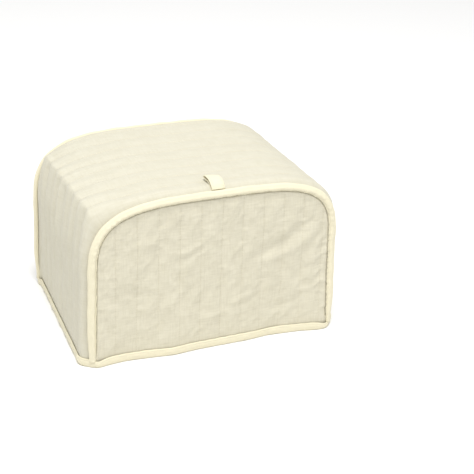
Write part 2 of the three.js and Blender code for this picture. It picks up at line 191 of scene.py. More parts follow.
def laid_folds(u, v, folds):
    """Listed folds, each from (u0, v0) to (u1, v1) with a half width and a height. Across, a fold is
    a bell about its line, which is bowed by a half sine; it fades out by a smooth step towards either end."""
    u0, v0, u1, v1, width, height = np.array(folds, float).T
    length = np.hypot(u1 - u0, v1 - v0)
    along = ((u[..., None] - u0) * (u1 - u0) + (v[..., None] - v0) * (v1 - v0)) / length**2
    across = ((u[..., None] - u0) * (v1 - v0) - (v[..., None] - v0) * (u1 - u0)) / length
    bow = 0.08 * length * np.sin(np.pi * np.clip(along, 0, 1))
    ends = ease((along + 0.17) / 0.5) * ease((1.17 - along) / 0.5)
    return (height * ends * bell((across - bow) / width)).sum(axis=-1)


def line_puckers(along, across, line):
    """Small gathers that the quilting stitches draw in on both sides of a sewn line: two waves of 9.1 and
    5.6 mm along the line, shifted from line to line, within about 5 mm of it."""
    number = np.round((across - line) / QUILT_PITCH)
    off = across - line - number * QUILT_PITCH
    waves = np.sin(2 * np.pi * along / 9.1 + 2.4 * number)
    waves = waves + 0.7 * np.sin(2 * np.pi * along / 5.6 + 4.1 * number)
    return waves * bell(off / 5) * (1 - 0.6 * bell(off / 1.2))


def quads_of(index):
    """The four-sided faces between the neighbours of a table of point numbers."""
    corners = [index[:-1, :-1], index[:-1, 1:], index[1:, 1:], index[1:, :-1]]
    return np.stack(corners, axis=-1).reshape(-1, 4)


def sewn_mesh(name, points, quads, cloth, material):
    """A smooth mesh from points in millimetres, which are moved to the frame's metres, and four-sided faces,
    which are turned so that the volume that they close is positive. cloth holds each point's place on the
    flat cloth, in metres, and becomes the piece's UV map."""
    a, b, c, d = (points[quads[:, k]] for k in range(4))
    volume = (a * (np.cross(b, c) + np.cross(c, d))).sum()
    quads = quads if volume > 0 else quads[:, ::-1]
    mesh = bpy.data.meshes.new(name)
    mesh.vertices.add(len(points))
    mesh.vertices.foreach_set("co", ((points - MIDDLE_OF_FLOOR) * MM).ravel())
    mesh.loops.add(quads.size)
    mesh.loops.foreach_set("vertex_index", quads.ravel())
    mesh.polygons.add(len(quads))
    mesh.polygons.foreach_set("loop_start", np.arange(0, quads.size, 4))
    mesh.update(calc_edges=True)
    mesh.uv_layers.new(name="cloth").data.foreach_set("uv", cloth[quads.ravel()].ravel())
    mesh.polygons.foreach_set("use_smooth", np.ones(len(quads), bool))
    mesh.materials.append(material)
    piece = bpy.data.objects.new(name, mesh)
    bpy.context.scene.collection.objects.link(piece)
    return piece


def cloth_piece(name, outer, inner, quads, cloth, material):
    """A cloth with two faces: each quad on the outer points, the same one turned over on the inner points,
    and a strip round every free edge, which is an edge of one quad only."""
    edges = np.stack([quads, np.roll(quads, -1, axis=1)], axis=2).reshape(-1, 2)
    count = len(outer)
    key = edges.min(axis=1).astype(np.int64) * count + edges.max(axis=1)
    found, first, times = np.unique(key, return_index=True, return_counts=True)
    free = edges[first[times == 1]]
    rim = np.column_stack([free[:, 1], free[:, 0], free[:, 0] + count, free[:, 1] + count])
    quads = np.vstack([quads, quads[:, ::-1] + count, rim])
    return sewn_mesh(name, np.vstack([outer, inner]), quads, np.vstack([cloth, cloth]), material)


def cotton(name, colour, shade, weave, slub, tone):
    """Woven cotton that reads the piece's own cloth map. The colour drifts between colour and shade by a
    broad soft noise and by slubs, which are thicker threads that show as short fine lines both ways. The
    bump is a plain weave, the product of a sine across each set of threads, plus the same slubs. weave is the
    thread pitch in metres; slub and tone are the shares of slubs and broad noise in the colour."""
    material = bpy.data.materials.new(name)
    material.use_nodes = True
    nodes, links = material.node_tree.nodes, material.node_tree.links
    shader = nodes["Principled BSDF"]
    shader.inputs["Roughness"].default_value = 0.9
    shader.inputs["Specular IOR Level"].default_value = 0.2
    shader.inputs["Sheen Weight"].default_value = 0.12
    shader.inputs["Sheen Roughness"].default_value = 0.6

    def math(operation, first, second=None):
        """The output of a math node whose inputs are numbers or other nodes' outputs."""
        node = nodes.new("ShaderNodeMath")
        node.operation = operation
        for socket, value in zip(node.inputs, (first, second)):
            if isinstance(value, (int, float)):
                socket.default_value = value
            elif value is not None:
                links.new(value, socket)
        return node.outputs[0]

    def noise(scale_u, scale_v, detail):
        """Noise on the cloth map, drawn out along the way with the smaller scale."""
        mapping = nodes.new("ShaderNodeMapping")
        mapping.inputs["Scale"].default_value = (scale_u, scale_v, 1)
        links.new(place.outputs["UV"], mapping.inputs["Vector"])
        texture = nodes.new("ShaderNodeTexNoise")
        texture.inputs["Scale"].default_value = 1
        texture.inputs["Detail"].default_value = detail
        links.new(mapping.outputs["Vector"], texture.inputs["Vector"])
        return texture.outputs["Fac"]

    place = nodes.new("ShaderNodeUVMap")
    place.uv_map = "cloth"
    parts = nodes.new("ShaderNodeSeparateXYZ")
    links.new(place.outputs["UV"], parts.inputs["Vector"])
    warp = math("SINE", math("MULTIPLY", parts.outputs["X"], np.pi / weave))
    weft = math("SINE", math("MULTIPLY", parts.outputs["Y"], np.pi / weave))
    threads = math("MULTIPLY", warp, weft)
    slubs = math("ADD", noise(620, 60, 3), noise(75, 560, 3))
    drift = noise(45, 38, 4)

    uneven = math("MULTIPLY", math("SUBTRACT", slubs, 1.0), slub)
    share = math("ADD", uneven, math("MULTIPLY", drift, tone))
    blend = nodes.new("ShaderNodeMix")
    blend.data_type = "RGBA"
    blend.inputs["A"].default_value = (*colour, 1)
    blend.inputs["B"].default_value = (*shade, 1)
    links.new(share, blend.inputs["Factor"])
    links.new(blend.outputs["Result"], shader.inputs["Base Color"])

    height = math("ADD", math("MULTIPLY", threads, 0.05), math("MULTIPLY", slubs, 0.22))
    bump = nodes.new("ShaderNodeBump")
    bump.inputs["Distance"].default_value = MM
    bump.inputs["Strength"].default_value = 0.7
    links.new(height, bump.inputs["Height"])
    links.new(bump.outputs["Normal"], shader.inputs["Normal"])
    return material


def panel_cloth(x, z, folds, seed):
    """Depth of the middle of a panel's cloth behind the seam, and half the cloth's thickness. Both depend on
    the distance from the seam: there is a narrow groove beside it, a shallow hollow further in, then the full
    cloth, which rises between the sewn lines. Puckers, crumpling and the listed folds come on top."""
    place = np.linspace(0, SEAM_LENGTH, 520)
    seam_x, seam_z, out_x, out_z = seam_at(place)
    flat_x, flat_z = x.ravel(), z.ravel()
    nearest = ((flat_x[:, None] - seam_x) ** 2 + (flat_z[:, None] - seam_z) ** 2).argmin(axis=1)
    inward = (seam_x - flat_x[:, None])[np.arange(len(flat_x)), nearest] * out_x[nearest]
    inward = inward + (seam_z[nearest] - flat_z) * out_z[nearest]
    distance = inward.reshape(x.shape) + TURN_PAST_SEAM
    nearest = place[nearest].reshape(x.shape)
    free_of_seam = ease(distance / PINCH_WIDTH)
    free_of_hem = ease((z - HEM_HEIGHT) / PINCH_WIDTH)
    full = mix(AT_LINE, AT_CROWN, fullness(x, LINE_ON_PANEL))
    pinched = mix(IN_SEAM, IN_HEM, np.clip(distance / PINCH_WIDTH, 0, 1))
    half = mix(pinched, full, free_of_seam * free_of_hem) / 2
    groove = GROOVE["depth"] * bell((distance - GROOVE["at"]) / GROOVE["width"])
    groove = groove * ease((z - HEM_HEIGHT) / GROOVE["from_hem"])
    hollow = HOLLOW["depth"] * bell((distance - HOLLOW["at"]) / HOLLOW["width"]) * free_of_hem
    more = DRAWN_AT_RIGHT["height"] * ease((x - DRAWN_AT_RIGHT["from_x"]) / DRAWN_AT_RIGHT["over"])
    drawn = PUCKERS["height"] + more * bell((z - DRAWN_AT_RIGHT["z"]) / DRAWN_AT_RIGHT["spread"])
    raised = drawn * seam_puckers(nearest, distance, PUCKERS["spacing"], PUCKERS["reach"], seed)
    raised = raised + LINE_PUCKERS * line_puckers(z, x, LINE_ON_PANEL) * free_of_seam
    shares = [free_of_seam, ease(distance / 6), ease(distance / 4)]
    for number, (waves, share) in enumerate(zip(CRUMPLES, shares), 1):
        raised = raised + waves["height"] * crumple(x, z, waves["size"], seed + number) * share
    raised = raised + laid_folds(x, z, folds) * ease(distance / 6)
    return hollow + groove - raised * free_of_hem, half


def end_panel(name, at_front, folds, seed, material):
    """An end panel as one cloth. Its columns run from the hem up to the seam and stand evenly along the arch;
    its rows share out each column's height, closer towards the seam. Past it, three more layers make the edge
    that is turned into the binding."""
    columns, rows, layers = 236, 112, 3
    crowding = 1.4
    arch = np.linspace(SHOULDER_FOOT["left"], SEAM_LENGTH - SHOULDER_FOOT["right"], columns)
    arch_x, arch_z, arch_out_x, arch_out_z = seam_at(arch)
    arch_x = arch_x + TURN_PAST_SEAM * arch_out_x
    arch_z = arch_z + TURN_PAST_SEAM * arch_out_z
    up = 1 - np.linspace(1, 0, rows)[:, None] ** crowding
    z = mix(CLOTH_FOOT, arch_z, up)
    foot = np.where(arch_x < 0, SHOULDER_FOOT["left"], SHOULDER_FOOT["right"])
    flare = SIDE_FLARE * np.maximum(foot - np.maximum(z, HEM_HEIGHT), 0)
    x = arch_x * (1 + flare / SEAM_HALF_WIDTH)
    depth, half = panel_cloth(x, z, folds, seed)

    numbers = np.arange(rows * columns).reshape(rows, columns)
    edge = np.concatenate([numbers[:, 0], numbers[-1, 1:], numbers[-2::-1, -1]])
    side_out_x = np.zeros((rows, columns)) + arch_out_x
    side_out_x[:, 0], side_out_x[:, -1] = -1, 1
    side_out_z = np.zeros((rows, columns)) + arch_out_z
    side_out_z[:, 0], side_out_z[:, -1] = 0, 0
    seam_x, seam_z = x.ravel()[edge], z.ravel()[edge]
    out_x, out_z = side_out_x.ravel()[edge], side_out_z.ravel()[edge]
    reach = np.maximum(turned_edge(seam_z, out_z) - TURN_PAST_SEAM, 0.2)
    out = reach * np.linspace(1 / layers, 1, layers)[:, None]

    def placed(x, z, depth):
        """Points at a depth behind the panel's own seam."""
        y = front_face(x, z) + depth if at_front else DEPTH - depth
        return np.stack([x, y, z], axis=-1).reshape(-1, 3)

    def turned(shift):
        """The layers of the turned edge, on one face of the cloth."""
        reach, back = leaned(seam_z, out, shift + 0 * out)
        return placed(seam_x + out_x * reach, seam_z + out_z * reach, back)

    outer = np.vstack([placed(x, z, depth - half), turned(-IN_SEAM / 2)])
    inner = np.vstack([placed(x, z, depth + half), turned(IN_SEAM / 2)])
    layer_numbers = rows * columns + np.arange(layers * len(edge)).reshape(layers, len(edge))
    quads = np.vstack([quads_of(numbers), quads_of(np.vstack([edge, layer_numbers]))])
    return cloth_piece(name, outer, inner, quads, outer[:, [0, 2]] * MM, material)


panel_cotton = cotton("panel_cotton_weave", (0.68, 0.643, 0.515), (0.60, 0.564, 0.437), 0.00055, 1.5, 0.8)

FRONT_FOLDS = [
    (40, 100, 108, 138, 6.0, -1.8),
    (50, 92, 118, 126, 5.0, 1.3),
    (96, 134, 112, 142, 3.0, 1.0),
    (60, 118, 100, 150, 6.0, 0.9),
    (-54, 108, -10, 128, 4.0, -1.0),
    (-48, 116, -8, 135, 4.0, 0.9),
    (-44, 96, -37, 74, 3.0, -0.8),
    (-36, 96, -28, 78, 3.4, 0.7),
    (18, 50, 50, 68, 3.6, 1.2),
    (24, 44, 56, 60, 3.2, -0.9),
    (38, 60, 66, 76, 3.6, -1.0),
    (-22, 38, 14, 44, 4.0, 1.2),
    (60, 34, 104, 46, 5.0, -1.0),
    (-96, 134, -60, 142, 5.0, 0.9),
    (-104, 84, -66, 76, 4.5, -0.9),
    (-92, 60, -58, 66, 4.0, 0.9),
    (100, 66, 126, 74, 2.6, 0.9),
    (98, 52, 126, 60, 2.4, 0.9),
    (102, 84, 127, 92, 2.4, 0.8),
]
FRONT_SEED = 11
front_panel = end_panel("front_panel_cloth", True, FRONT_FOLDS, FRONT_SEED, panel_cotton)
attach(front_panel, "root")
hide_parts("front_panel")

# Back panel: the same pattern piece in the same quilted cotton, sewn and bound in the same way. It hangs
# straighter than the front one, with creases of its own.

BACK_FOLDS = [
    (-100, 60, -40, 92, 7.0, -1.4),
    (-30, 120, 40, 104, 6.0, 1.2),
    (20, 40, 84, 70, 6.0, -1.2),
    (70, 120, 108, 88, 5.0, 1.0),
    (-90, 130, -52, 118, 4.0, -1.0),
    (-10, 30, 30, 26, 4.0, 0.9),
]
BACK_SEED = 23
back_panel = end_panel("back_panel_cloth", False, BACK_FOLDS, BACK_SEED, panel_cotton)
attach(back_panel, "root")
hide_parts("back_panel")

# Band: one long strip of the same quilted cotton, its quilting running lengthwise up the left side, over the
# top and down the right. It is cut fuller than its seams, so it stands out past them and folds over along the
# left shoulder.

LINE_ON_BAND = 25.5
TURNED_DEPTH = 1.5
BULGE = {"left_hem": 13.6, "left": 12.0, "top": 9.4, "right": 12.4, "right_hem": 11.5}
LEFT_TAPER = {"hem": 0.93, "top": 0.35}
RISE = {"front": 12.0, "front_foot": 11.0, "back": 10.0}
TOP_SAG = 2.0
BACK_SHOULDER = {"height": 4.6, "width": 5.0}
CREASE = {"x": -122.0, "lift": 12.5, "lift_at_back": 7.5, "below": 17.0, "above": 40.0, "outwards": 0.16,
          "rise": 19.0}
left_shoulder = slice(LEG_POINTS, LEG_POINTS + TURN_POINTS)
CREASE_PLACE = np.interp(CREASE["x"], SEAM[0, left_shoulder], SEAM_PLACE[left_shoulder])
CREASE_POINT = seam_at(CREASE_PLACE)
THIN_ON_BAND = 1.8
FULL_ON_BAND = 3.4
FULL_ON_TOP = 2.7
FOLD_EDGE = {"place": 155.5, "height": 3.4, "reach": 5.5}
FRONT_FOLD = {"y": 8.6, "height": 2.2, "reach": 3.2, "length": 60.0}
SHOULDER_PLACE = 150.0
CHANNELS = 7
COLUMNS_A_CHANNEL = 15
FRONT_DEPTHS = [1.5, 2.3, 3.2, 4.3, 5.4, 7, 8.6, 10.3, 12, 13.7, 15.5, 17.5, 19.5, 21.5, 23.5]
BACK_DEPTHS = [191.4, 193.1, 194.8, 196.5, 198, 199.5, 201, 202.2, 203.3, 204.4, 205.2, 206.1]
EDGE_SHARES = np.array([1, 0.7, 0.42])


def bulge_at(x, z, out_x, y):
    """How far the band stands out past its seams midway between them: smooth steps lead from the hem up and
    from the top to the sides. It shrinks evenly towards the back on the left and sags a little on top."""
    along = np.clip((y - RISE["front"]) / (DEPTH - RISE["front"]), 0, 1)
    upright = np.maximum(z, HEM_HEIGHT) / SEAM_TOP
    left = mix(BULGE["left_hem"], BULGE["left"], ease(upright / 0.5))
    left = left * (1 - mix(LEFT_TAPER["hem"], LEFT_TAPER["top"], upright) * along)
    right = mix(BULGE["right_hem"], BULGE["right"], ease(upright / 0.5))
    sag = TOP_SAG * bell((x - 15) / 60) * np.sin(np.pi * np.clip(y / DEPTH, 0, 1))
    on_left = mix(BULGE["top"], left, ease(-out_x))
    on_right = mix(BULGE["top"] - sag, right, ease(np.maximum(0, out_x)))
    return np.where(out_x < -0.05, on_left, on_right)


def band_rise(z, y):
    """Share of the bulge at a depth: a quarter sine up from each seam."""
    low = 1 - ease((z - HEM_HEIGHT) / BINDING_FOOT_RISE)
    from_front = np.clip((y - TURNED_DEPTH) / mix(RISE["front"], RISE["front_foot"], low), 0, 1)
    from_back = np.clip((DEPTH - TURNED_DEPTH - y) / RISE["back"], 0, 1)
    return np.sin(np.pi / 2 * from_front) ** mix(1, 0.92, low) * np.sin(np.pi / 2 * from_back)


def crease_lift(x, z, out_x, y):
    """Height of the fold along the left shoulder: 1 minus the distance over its width, to the power of 1.25.
    It is narrower below, its ridge is rounded to about 1 mm, and it runs out at both ends."""
    away = np.hypot(x - CREASE_POINT[0], z - CREASE_POINT[1])
    before = (x < CREASE["x"]) & (out_x < 0) & (z <= CREASE_POINT[1])
    width = np.where(before, CREASE["below"], CREASE["above"])
    away = np.sqrt(away**2 + 1.0**2) - 1.0
    lift = mix(CREASE["lift"], CREASE["lift_at_back"], y / DEPTH) * np.clip(1 - away / width, 0, 1) ** 1.25
    return lift * ease((y - 3) / CREASE["rise"]) * ease((DEPTH - 3 - y) / CREASE["rise"])


def fold_edge(place, y):
    """The sharp edge on that fold: it falls away on both sides as an exponential, and each quilting line
    pinches it in."""
    away = np.abs(place - FOLD_EDGE["place"]) / FOLD_EDGE["reach"]
    pinch = 0.65 + 0.5 * fullness(y, LINE_ON_BAND)
    ends = ease((y - 2) / 11) * ease((DEPTH - 3 - y) / 13)
    return FOLD_EDGE["height"] * np.exp(-away) * pinch * ends


def front_fold(place, y):
    """The sharp edge in which that fold turns down beside the front binding: an exponential across, which
    dies out downwards."""
    away = np.abs(y - FRONT_FOLD["y"]) / FRONT_FOLD["reach"]
    down = FOLD_EDGE["place"] - place
    along = ease(down / 10 + 0.5) * np.exp(-np.maximum(down, 0) / FRONT_FOLD["length"])
    return FRONT_FOLD["height"] * np.exp(-away) * ease((y - 2) / 4) * along


def gathers(y, spacing, seed):
    """An uneven row of ridges across the band's depth: bells of chance width and height."""
    chance = np.random.default_rng(seed)
    count = int(DEPTH / spacing)
    centre = (np.arange(count) + chance.uniform(0.15, 0.85, count)) * spacing
    width = chance.uniform(0.16, 0.34, count) * spacing
    height = chance.uniform(-0.6, 1.0, count)
    return (height * bell((y[..., None] - centre) / width)).sum(axis=-1)


def band_middle(place, y):
    """The middle of the band's cloth: the seam's outline, moved out by the bulge and lifted along the crease.
    Close to each seam a bell is joined to the bulge, as the long side of a right triangle."""
    x, z, out_x, out_z = seam_at(place)
    at_front = TURNED_DEPTH * bell((y - TURNED_DEPTH) / TURNED_DEPTH)
    at_back = BACK_SHOULDER["height"] * bell((DEPTH - TURNED_DEPTH - y) / BACK_SHOULDER["width"])
    out = np.hypot(bulge_at(x, z, out_x, y) * band_rise(z, y), at_front)
    out = np.where(y > DEPTH / 2, np.hypot(out, at_back), out)
    out = out + fold_edge(place, y) + front_fold(place, y)
    lift = crease_lift(x, z, out_x, y)
    depth = y + front_face(x, z) * (1 - y / DEPTH)
    return np.stack([x + out_x * out - CREASE["outwards"] * lift, depth, z + out_z * out + lift], axis=-1)


def band_relief(place, y):
    """What stands out on the band's cloth, in millimetres: ripples and gathers that start at the crease and
    die out as exponentials, puckers beside both seams and along the quilting, and a slight crumpling."""
    x, z, out_x, out_z = seam_at(place)
    from_crease = place - CREASE_PLACE
    inside = ease((y - 4) / 10) * ease((DEPTH - 4 - y) / 10)
    below = np.exp(np.minimum(from_crease, 0) / 190)
    above = np.exp(-np.maximum(from_crease, 0) / 34)
    near = np.where(from_crease < 0, below, above)
    relief = 1.3 * (fullness(y, LINE_ON_BAND) - 0.5) * bell(from_crease / 30)
    side_share = ease((4 - from_crease) / 12)
    ripples = 2.2 * gathers(y + 0.05 * from_crease, 16, 38) + 3.2 * (fullness(y, LINE_ON_BAND, 1.4) - 0.5)
    relief = relief + (ripples * side_share + 1.3 * gathers(y + 0.05 * from_crease, 11, 31)) * near
    relief = relief + 0.9 * gathers(y + 0.03 * from_crease, 5, 32) * np.exp(-np.abs(from_crease) / 45)
    right_place = SEAM_LENGTH - SHOULDER_PLACE - place
    relief = relief + 0.35 * gathers(y, 13, 33) * np.exp(-np.abs(right_place) / 36)
    free = ease((z - HEM_HEIGHT) / PINCH_WIDTH)
    relief = relief + 0.12 * line_puckers(place, y, LINE_ON_BAND)
    relief = relief + 0.5 * crumple(place, y, 36, 34) + 0.25 * crumple(place, y, 13, 35)
    edges = 0.45 * seam_puckers(place, y - 3, 7.0, 9, 36)
    edges = edges + 0.45 * seam_puckers(place, DEPTH - 3 - y, 7.5, 9, 37)
    return (relief * inside + edges) * free


def band_grid():
    """Where the points of the band's cloth lie: stations along the seam, about 2 mm apart and closer at the
    crease, and depths, closer at both seams, of which one falls on every quilting line."""
    stations, samples = 296, 4000
    fine = np.linspace(CLOTH_FOOT, SEAM_LENGTH - CLOTH_FOOT, samples)
    density = 0.46 + 0.8 * bell((fine - CREASE_PLACE) / 12)
    share = np.concatenate([[0], np.cumsum((density[1:] + density[:-1]) / 2 * np.diff(fine))])
    place = np.interp(np.linspace(0, share[-1], stations), share, fine)[:, None]
    channels = LINE_ON_BAND + QUILT_PITCH * np.arange(CHANNELS * COLUMNS_A_CHANNEL) / COLUMNS_A_CHANNEL
    return place, np.concatenate([FRONT_DEPTHS, channels, BACK_DEPTHS])


def face_directions(grid, turn=1):
    """The direction out of a surface at each point of its table: the cross product of the slopes along and
    across. turn is -1 where that product points in."""
    direction = turn * np.cross(np.gradient(grid, axis=0), np.gradient(grid, axis=1))
    return direction / np.linalg.norm(direction, axis=-1, keepdims=True)


place, y = band_grid()
x, z, out_x, out_z = seam_at(place)
body = band_middle(place, y + 0 * place)
edge = turned_edge(z, out_z) * EDGE_SHARES
reach, back = leaned(z, edge, TURNED_DEPTH + 0 * edge)
edge_x = x + out_x * reach
edge_z = z + out_z * reach
front_edge = np.stack([edge_x, front_face(x + 0 * edge, z + 0 * edge) + back, edge_z], axis=-1)
back_edge = np.stack([edge_x, DEPTH - back, edge_z], axis=-1)[:, ::-1]
middle = np.concatenate([front_edge, body, back_edge], axis=1)
outwards = face_directions(middle)

to_seam = np.minimum(y, DEPTH - y) - TURNED_DEPTH
crown = mix(FULL_ON_BAND, FULL_ON_TOP, ease((place - CREASE_PLACE - 50) / 70) * ease(out_z))
full = mix(THIN_ON_BAND, crown, fullness(y, LINE_ON_BAND, 1.4))
free = ease(to_seam / PINCH_WIDTH) * ease((z - HEM_HEIGHT) / PINCH_WIDTH)
body_half = mix(mix(IN_SEAM, IN_HEM, np.clip(to_seam / PINCH_WIDTH, 0, 1)), full, free) / 2
edge_half = np.full(edge.shape, IN_SEAM / 2)
half = np.concatenate([edge_half, body_half, edge_half], axis=1)[..., None]
relief = band_relief(place + 0 * y, y + 0 * place)
relief = np.concatenate([0 * edge, relief, 0 * edge], axis=1)[..., None]
band_outer = middle + outwards * (relief + half)
band_inner = middle + outwards * (relief - half)
front_margin = TURNED_DEPTH - edge
back_margin = DEPTH - TURNED_DEPTH + edge[:, ::-1]
across_cloth = np.concatenate([front_margin, y + 0 * place, back_margin], axis=1)
band_map = np.stack([place + 0 * across_cloth, across_cloth], axis=-1) * MM

# The band is the same cloth as the panels, but its colour is darker: painted shade for the band's left side,
# which the light alone leaves too bright. The top is darkened with it.
band_cotton_painted_shade = cotton("band_painted_shade_weave", (0.648, 0.622, 0.512), (0.584, 0.552, 0.432), 0.00055, 1.2, 0.6)
numbers = np.arange(band_outer[..., 0].size).reshape(band_outer.shape[:2])
band = cloth_piece("band_cloth", band_outer.reshape(-1, 3), band_inner.reshape(-1, 3), quads_of(numbers),
                   band_map.reshape(-1, 2), band_cotton_painted_shade)
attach(band, "root")
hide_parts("band")

# Front seam binding: pale cotton tape, its edges pressed under, folded over the two turned-out cut edges and
# topstitched through. It is eased round the shoulders, where it gathers a little, and its inner edge stands
# off the panel.

TAPE = 1.0
REAR_START = 5.6
INNER_EDGE = 0.9
LEGS = {"front": -1.4, "rear": 2.9}
BINDING_FOOT = 7.0
STITCHED_AT = 0.24
BINDING_STEPS = 34
FRONT_LEG = 0.5


def waver(place, length, seed):
    """A slow uneven wave along a seam, between about -1 and 1: three sines of nearby lengths."""
    chance = np.random.default_rng(seed)
    lengths = length * chance.uniform(0.6, 1.6, 3)
    phase = chance.uniform(0, 2 * np.pi, 3)
    return np.sin(2 * np.pi * place[..., None] / lengths + phase).sum(axis=-1) / 2


def tape_thickness(share, thickness, bead):
    """Half the thickness across a tape from edge to edge: rounded off at both edges as a square root, with a
    bell for a bead at the edges, where the tape is pressed under on itself."""
    from_edge = np.minimum(share, 1 - share)
    rounded = np.sqrt(np.clip(from_edge / 0.025, 0.09, 1))
    return thickness / 2 * (1 + bead * bell((from_edge - 0.05) / 0.05)) * rounded


def binding(name, at_front, seed, material):
    """A tape carried along the seam. Across, its middle line is a front leg with a low crown, a half circle
    round the cut edges and a short rear leg, which take 0.5, 0.32 and 0.18 of the points. The cloth lies half
    a thickness to either side of that line."""
    stations = 380
    place = np.linspace(BINDING_FOOT, SEAM_LENGTH - BINDING_FOOT, stations)[:, None]
    x, z, out_x, out_z = seam_at(place)
    shoulders = bell((place - SHOULDER_PLACE) / 34) + bell((place - SEAM_LENGTH + SHOULDER_PLACE) / 34)
    foot = ease((z - HEM_HEIGHT) / 20)
    reach = binding_reach(z, out_z) + 0.25 * waver(place, 31, seed) * foot
    uneven = 0.25 + 0.35 * bell((place - SEAM_LENGTH + 60) / 60)
    start = INNER_EDGE + (0.25 * waver(place, 12, seed + 1) + uneven * waver(place, 5.2, seed + 2)) * foot
    crown = 1.2 + 0.2 * waver(place, 22, seed + 3) + 0.6 * shoulders * waver(place, 5, seed + 4)
    share = np.linspace(0, 1, BINDING_STEPS)
    radius = (LEGS["rear"] - LEGS["front"]) / 2
    turn_out = reach - TAPE / 2 - radius
    leg = np.clip(share / FRONT_LEG, 0, 1)
    turn = np.pi * np.clip((share - FRONT_LEG) / 0.32, 0, 1)
    rear = np.clip((share - 0.82) / 0.18, 0, 1)
    rear_run = np.maximum(turn_out - REAR_START, 0.4)
    puffed = np.clip((leg - 0.2) / 0.8, 0, 1)
    out = start + (turn_out - start) * leg + radius * np.sin(turn) - rear_run * rear
    y = mix(LEGS["front"], LEGS["rear"], (1 - np.cos(turn)) / 2) - crown * np.sin(np.pi * puffed) ** 0.8
    pulled = 0.35 + 0.7 * bell((place - 60) / 80)
    y = y + (0.2 * bell(leg / 0.2) + pulled * bell((leg - STITCHED_AT) / 0.09)) * foot

    reach_out, depth = leaned(z, out, y)
    y_place = front_face(x + 0 * out, z + 0 * out) + depth if at_front else DEPTH - depth
    middle = np.stack([x + out_x * reach_out, y_place, z + out_z * reach_out], axis=-1)
    direction = face_directions(middle, 1 if at_front else -1)
    half = (tape_thickness(share, TAPE, 0.25) + 0 * place)[..., None]
    numbers = np.arange(stations * BINDING_STEPS).reshape(stations, BINDING_STEPS)
    width = REACH["side"] * 2 * share + 0 * place
    cloth = np.stack([place + 0 * width, width], axis=-1).reshape(-1, 2) * MM
    outer = (middle + direction * half).reshape(-1, 3)
    inner = (middle - direction * half).reshape(-1, 3)
    piece = cloth_piece(name, outer, inner, quads_of(numbers), cloth, material)
    return piece, outer.reshape(middle.shape), direction


tape_cotton = cotton("tape_cotton_weave", (0.80, 0.75, 0.57), (0.75, 0.69, 0.50), 0.0004, 0.6, 0.5)
front_binding, front_tape_face, front_tape_out = binding("front_binding_tape", True, 41, tape_cotton)
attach(front_binding, "root")
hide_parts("front_binding")

# Back seam binding: the same pale cotton tape, folded over the cut edges of the back panel and the band and
# topstitched through in the same way, from hem to hem over the arch.

back_binding, back_tape_face, back_tape_out = binding("back_binding_tape", False, 51, tape_cotton)
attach(back_binding, "root")
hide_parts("back_binding")

# Hem binding: one wider length of the tape, folded over the lower edge of the panels and the band and
# topstitched. The cover stands on its fold. It takes the corners in one bulky round turn over the feet of the
# seam bindings.

HEM_TAPE = 1.1
HEM_SLOT = 1.1
HEM_WALL = 1.5
CORNER_ROOM = 1.4
CORNER_DIP = 3.0
FOOT_HALF_WIDTH = 133.5
HEM_TAPE_WIDTH = 30.0
WALL_SHARE = 0.42
HEM_STITCHED_COLUMN = 3


def hem_path():
    """The lower edge's middle line, anticlockwise from the front left corner, at even steps: the front panel
    with its waves, the right of the band, the back panel and the left of the band. The corners are rounded by
    averaging over neighbouring points, with a bell as their weight. Then come the extra room at the corners,
    the distance along the line and how near a corner is, as a bell."""
    panel_points, band_points, path_points, spread = 240, 200, 720, 6
    front_x = np.linspace(-FOOT_HALF_WIDTH, FOOT_HALF_WIDTH, panel_points)
    side_y = np.linspace(2.5, DEPTH - 2.5, band_points)
    ends = seam_at(np.array([HEM_HEIGHT, SEAM_LENGTH - HEM_HEIGHT]))
    left = band_middle(np.full(band_points, HEM_HEIGHT), side_y)
    right = band_middle(np.full(band_points, SEAM_LENGTH - HEM_HEIGHT), side_y)
    front_y = front_face(front_x, np.full(panel_points, HEM_HEIGHT))
    back_x = np.linspace(ends[0][1], ends[0][0], panel_points)
    x = np.concatenate([front_x, right[:, 0], back_x, left[::-1, 0]])
    y = np.concatenate([front_y, right[:, 1], np.full(panel_points, DEPTH), left[::-1, 1]])
    corner = np.array([(-133, -4), (133, -4), (133, DEPTH), (-133, DEPTH)])
    step = np.hypot(np.diff(x, append=x[0]), np.diff(y, append=y[0]))
    run = np.concatenate([[0], np.cumsum(step)])
    even = np.linspace(0, run[-1], path_points, endpoint=False)
    x = np.interp(even, run, np.append(x, x[0]))
    y = np.interp(even, run, np.append(y, y[0]))
    shifts = range(-spread, spread + 1)
    weight = bell(np.array(shifts) / 3)
    weight = weight / weight.sum()
    x = sum(w * np.roll(x, k) for w, k in zip(weight, shifts))
    y = sum(w * np.roll(y, k) for w, k in zip(weight, shifts))
    near = np.hypot(x[:, None] - corner[:, 0], y[:, None] - corner[:, 1]).min(axis=1)
    return x, y, CORNER_ROOM * bell(near / 9), even, bell(near / 8)


